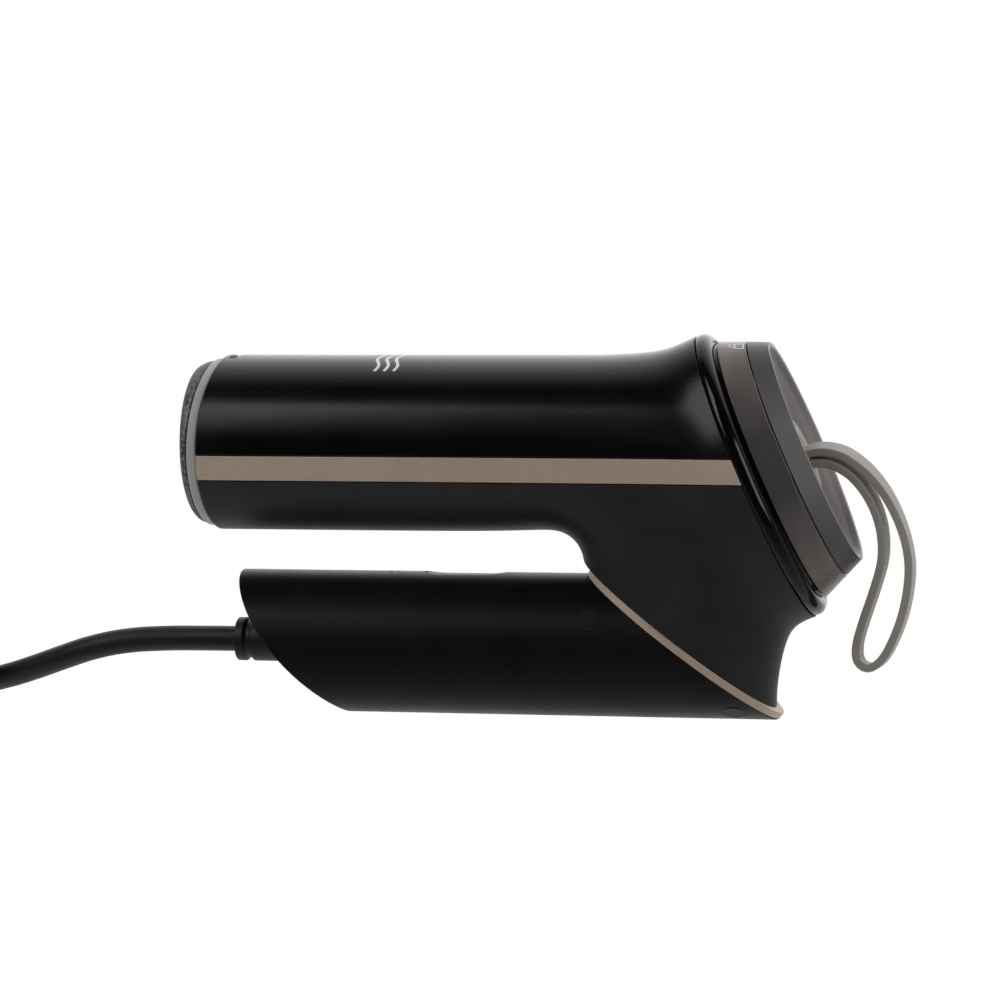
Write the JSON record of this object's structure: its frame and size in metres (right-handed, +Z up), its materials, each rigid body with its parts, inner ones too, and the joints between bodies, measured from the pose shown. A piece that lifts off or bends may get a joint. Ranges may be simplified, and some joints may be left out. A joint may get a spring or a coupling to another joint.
{
  "type": "garment steamer",
  "caption": "Folding travel garment steamer: tube body with round steam plate, smoked lift-off water tank, rotating handle folded under it, and a mains lead tied in a hank.",
  "frame": {"origin": "centre of the steamer's box at the level of the land that it stands on, the lead and its plug left out", "axes": "+Z up, +X from the steam plate towards the water tank, +Y away from the side where the fold joint carries the handle out"},
  "size_m": [0.4892, 0.0712, 0.1091],
  "materials": {
    "gloss_black": "glossy moulded plastic",
    "satin_black": "satin moulded plastic",
    "taupe": "satin painted trim",
    "grey_ring": "smooth matt heat-proof plastic",
    "plate_metal": "coarse blasted coating",
    "smoked": "smoked clear plastic",
    "silicone": "matt silicone rubber",
    "cord_black": "matt flexible PVC",
    "aluminium": "cast",
    "steel": "plain",
    "brass": "plated",
    "board_green": "solder-masked board",
    "white_plastic": "natural moulded plastic",
    "clear_hose": "clear silicone hose"
  },
  "bodies": {
    "housing": {"top_cover": "gloss_black", "lower_housing": "satin_black", "trim_strip_left": "taupe", "trim_strip_right": "taupe", "steam_plate": "plate_metal", "plate_bezel": "grey_ring", "boiler_block": "aluminium", "heating_element": "steel", "thermostat": "steel", "thermal_fuse": "steel", "pump_body": "white_plastic", "inlet_hose": "clear_hose", "outlet_hose": "clear_hose", "collar_ring": "gloss_black", "tank_socket": "satin_black", "tank_seal": "silicone", "joint_ring": "taupe", "pivot_hub": "white_plastic", "pivot_washer": "steel", "retaining_ring": "steel"},
    "handle": {"handle_sleeve": "satin_black", "handle_frame": "white_plastic", "handle_end_cap": "satin_black", "strain_relief": "cord_black", "cord_clamp": "white_plastic", "circuit_board": "board_green", "micro_switch": "cord_black", "led_lens": "white_plastic", "button_spring": "steel", "screw_plug_left_1": "satin_black", "screw_plug_left_2": "satin_black", "screw_plug_right_1": "satin_black", "screw_plug_right_2": "satin_black", "screw_left_1": "steel", "screw_left_2": "steel", "screw_right_1": "steel", "screw_right_2": "steel", "cord_lead": "cord_black", "cord_hank": "cord_black", "hank_tie": "silicone", "cord_tail": "cord_black", "mains_plug": "cord_black", "plug_pin_left": "brass", "plug_pin_right": "brass"},
    "tank": {"tank_body": "smoked", "tank_cover": "smoked", "tank_valve": "white_plastic"},
    "filler": {"filler_plug": "silicone", "strap_loop": "silicone"},
    "button": {"steam_button": "satin_black"},
    "plunger": {"pump_plunger": "steel"}
  },
  "joints": [
    {"name": "handle_fold", "type": "hinge", "parent": "housing", "child": "handle", "pos_m": [0.0386, 0, 0.0202], "axis": [0.5962, 0, 0.8028], "range_deg": [0, 180]},
    {"name": "tank_release", "type": "slide", "parent": "housing", "child": "tank", "axis": [0.9178, 0, 0.3971], "range_m": [0, 0.035]},
    {"name": "filler_pull", "type": "slide", "parent": "tank", "child": "filler", "axis": [0.9178, 0, 0.3971], "range_m": [0, 0.014]},
    {"name": "steam_press", "type": "slide", "parent": "handle", "child": "button", "axis": [0, 0, -1], "range_m": [0, 0.0015], "stiffness_N_per_m": 800, "springref_m": -0.001, "deforming": ["button_spring"]},
    {"name": "pump_stroke", "type": "slide", "parent": "housing", "child": "plunger", "axis": [1, 0, 0], "range_m": [-0.0015, 0.0015], "stiffness_N_per_m": 400}
  ]
}
